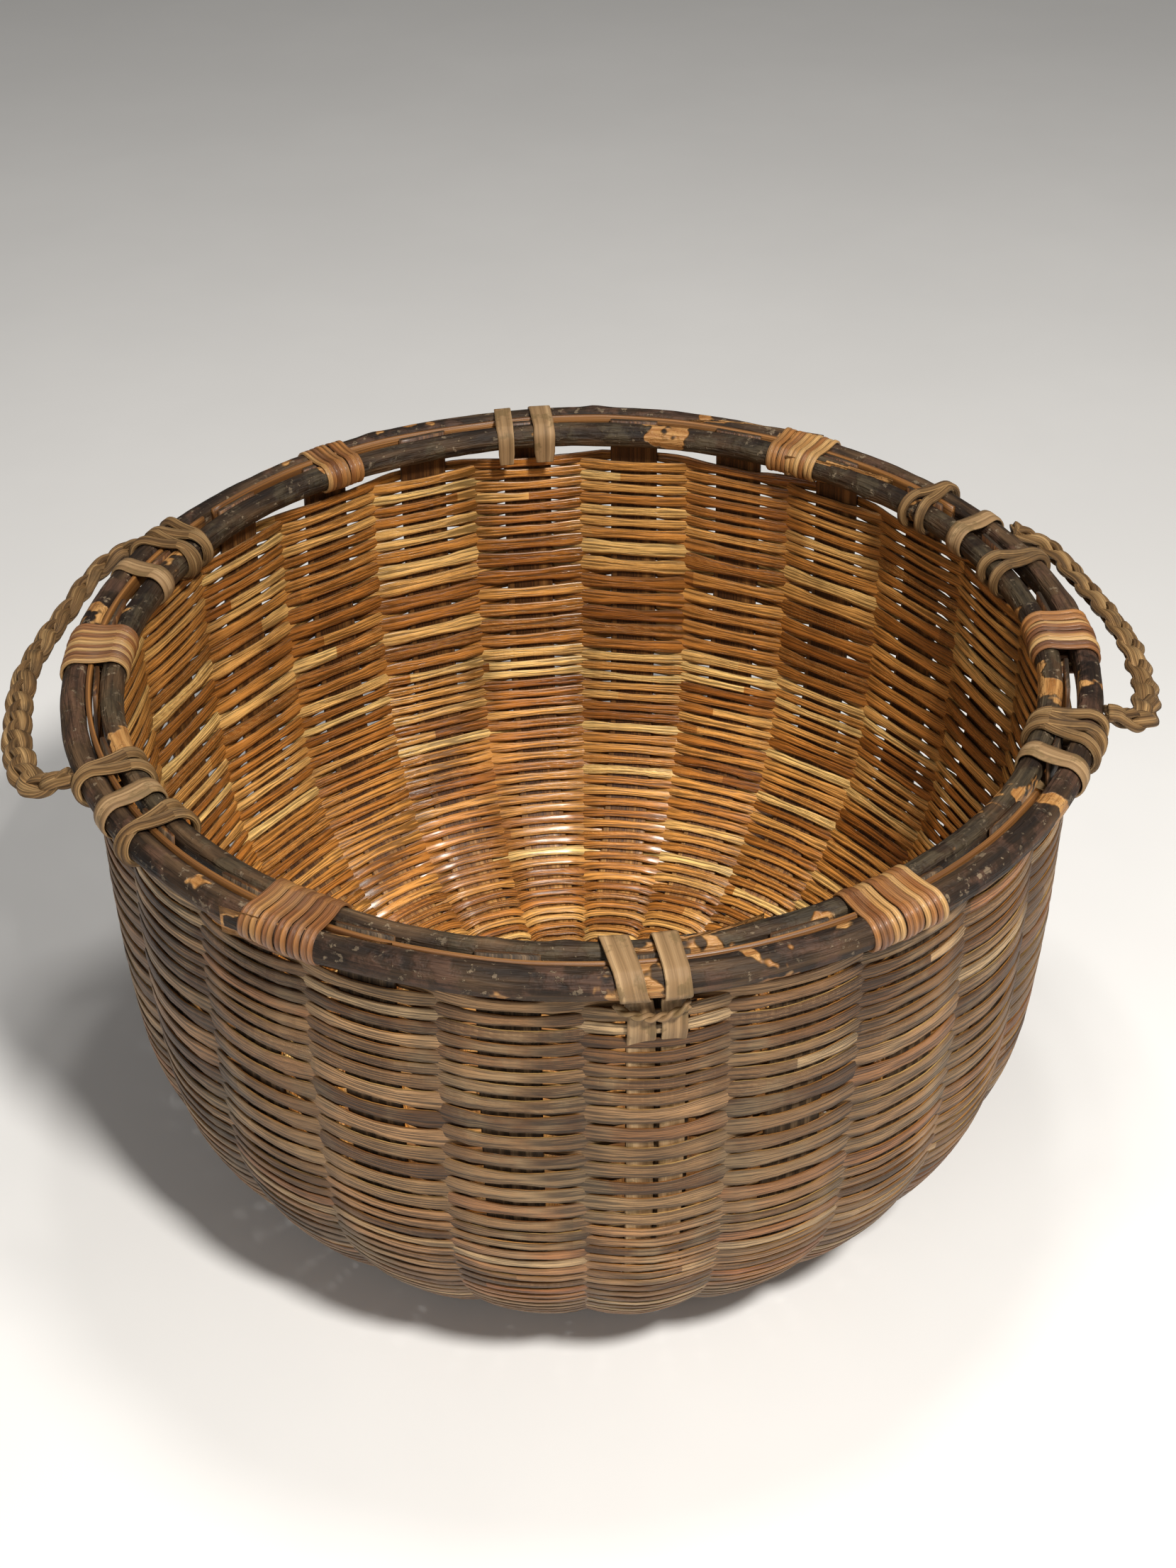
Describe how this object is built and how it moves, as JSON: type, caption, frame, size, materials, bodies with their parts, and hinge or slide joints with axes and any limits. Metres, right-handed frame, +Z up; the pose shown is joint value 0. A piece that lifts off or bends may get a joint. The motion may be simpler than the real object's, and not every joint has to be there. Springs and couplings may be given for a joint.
{
  "type": "winnowing basket",
  "caption": "Round deep farm basket woven from flat split strips on upright staves, with a lashed double-hoop rim and swinging plaited handles.",
  "frame": {"origin": "centre of the base, on the surface that the basket stands on", "axes": "+Z up through the mouth, +X towards the right handle, -Y towards the front"},
  "size_m": [0.5185, 0.4614, 0.2786],
  "materials": {
    "split_stave": "satin split wood inside, grey bark outside",
    "weft_splint": "weathered bark outside, golden split wood inside",
    "bark_hoop": "dull bark with worn patches",
    "filler_splint": "satin split wood",
    "cane_binding": "satin cane",
    "vine_rope": "dull plaited vine",
    "bast_strap": "dull pale bast",
    "twine": "dull twisted fibre"
  },
  "bodies": {
    "basket": {"stave_long_1": "split_stave", "stave_long_2": "split_stave", "stave_long_3": "split_stave", "stave_long_4": "split_stave", "stave_long_5": "split_stave", "stave_long_6": "split_stave", "stave_cross_1": "split_stave", "stave_cross_2": "split_stave", "stave_cross_3": "split_stave", "stave_cross_4": "split_stave", "stave_cross_5": "split_stave", "stave_cross_6": "split_stave", "weft_course_1": "weft_splint", "weft_course_2": "weft_splint", "weft_course_3": "weft_splint", "weft_course_4": "weft_splint", "weft_course_5": "weft_splint", "weft_course_6": "weft_splint", "outer_hoop_right": "bark_hoop", "outer_hoop_left": "bark_hoop", "inner_hoop_right": "bark_hoop", "inner_hoop_left": "bark_hoop", "rim_filler_1": "filler_splint", "rim_filler_2": "filler_splint", "rim_filler_3": "filler_splint", "whipping_1": "cane_binding", "whipping_2": "cane_binding", "whipping_3": "cane_binding", "whipping_4": "cane_binding", "whipping_5": "cane_binding", "whipping_6": "cane_binding", "rope_end_right_front": "vine_rope", "rope_end_right_back": "vine_rope", "rope_end_left_front": "vine_rope", "rope_end_left_back": "vine_rope", "collar_right_front": "bast_strap", "collar_right_back": "bast_strap", "collar_left_front": "bast_strap", "collar_left_back": "bast_strap", "strap_front_left": "bast_strap", "strap_front_right": "bast_strap", "strap_back_left": "bast_strap", "strap_back_right": "bast_strap", "strap_tie": "twine"},
    "right_handle": {"handle_right": "vine_rope"},
    "left_handle": {"handle_left": "vine_rope"}
  },
  "joints": [
    {"name": "right_handle_swing", "type": "hinge", "parent": "basket", "child": "right_handle", "pos_m": [0.22204, 0.02334, 0.2675], "axis": [0.1045, -0.9945, 0], "range_deg": [0, 112]},
    {"name": "left_handle_swing", "type": "hinge", "parent": "basket", "child": "left_handle", "pos_m": [-0.21702, 0, 0.2675], "axis": [0, 1, 0], "range_deg": [0, 112]}
  ]
}
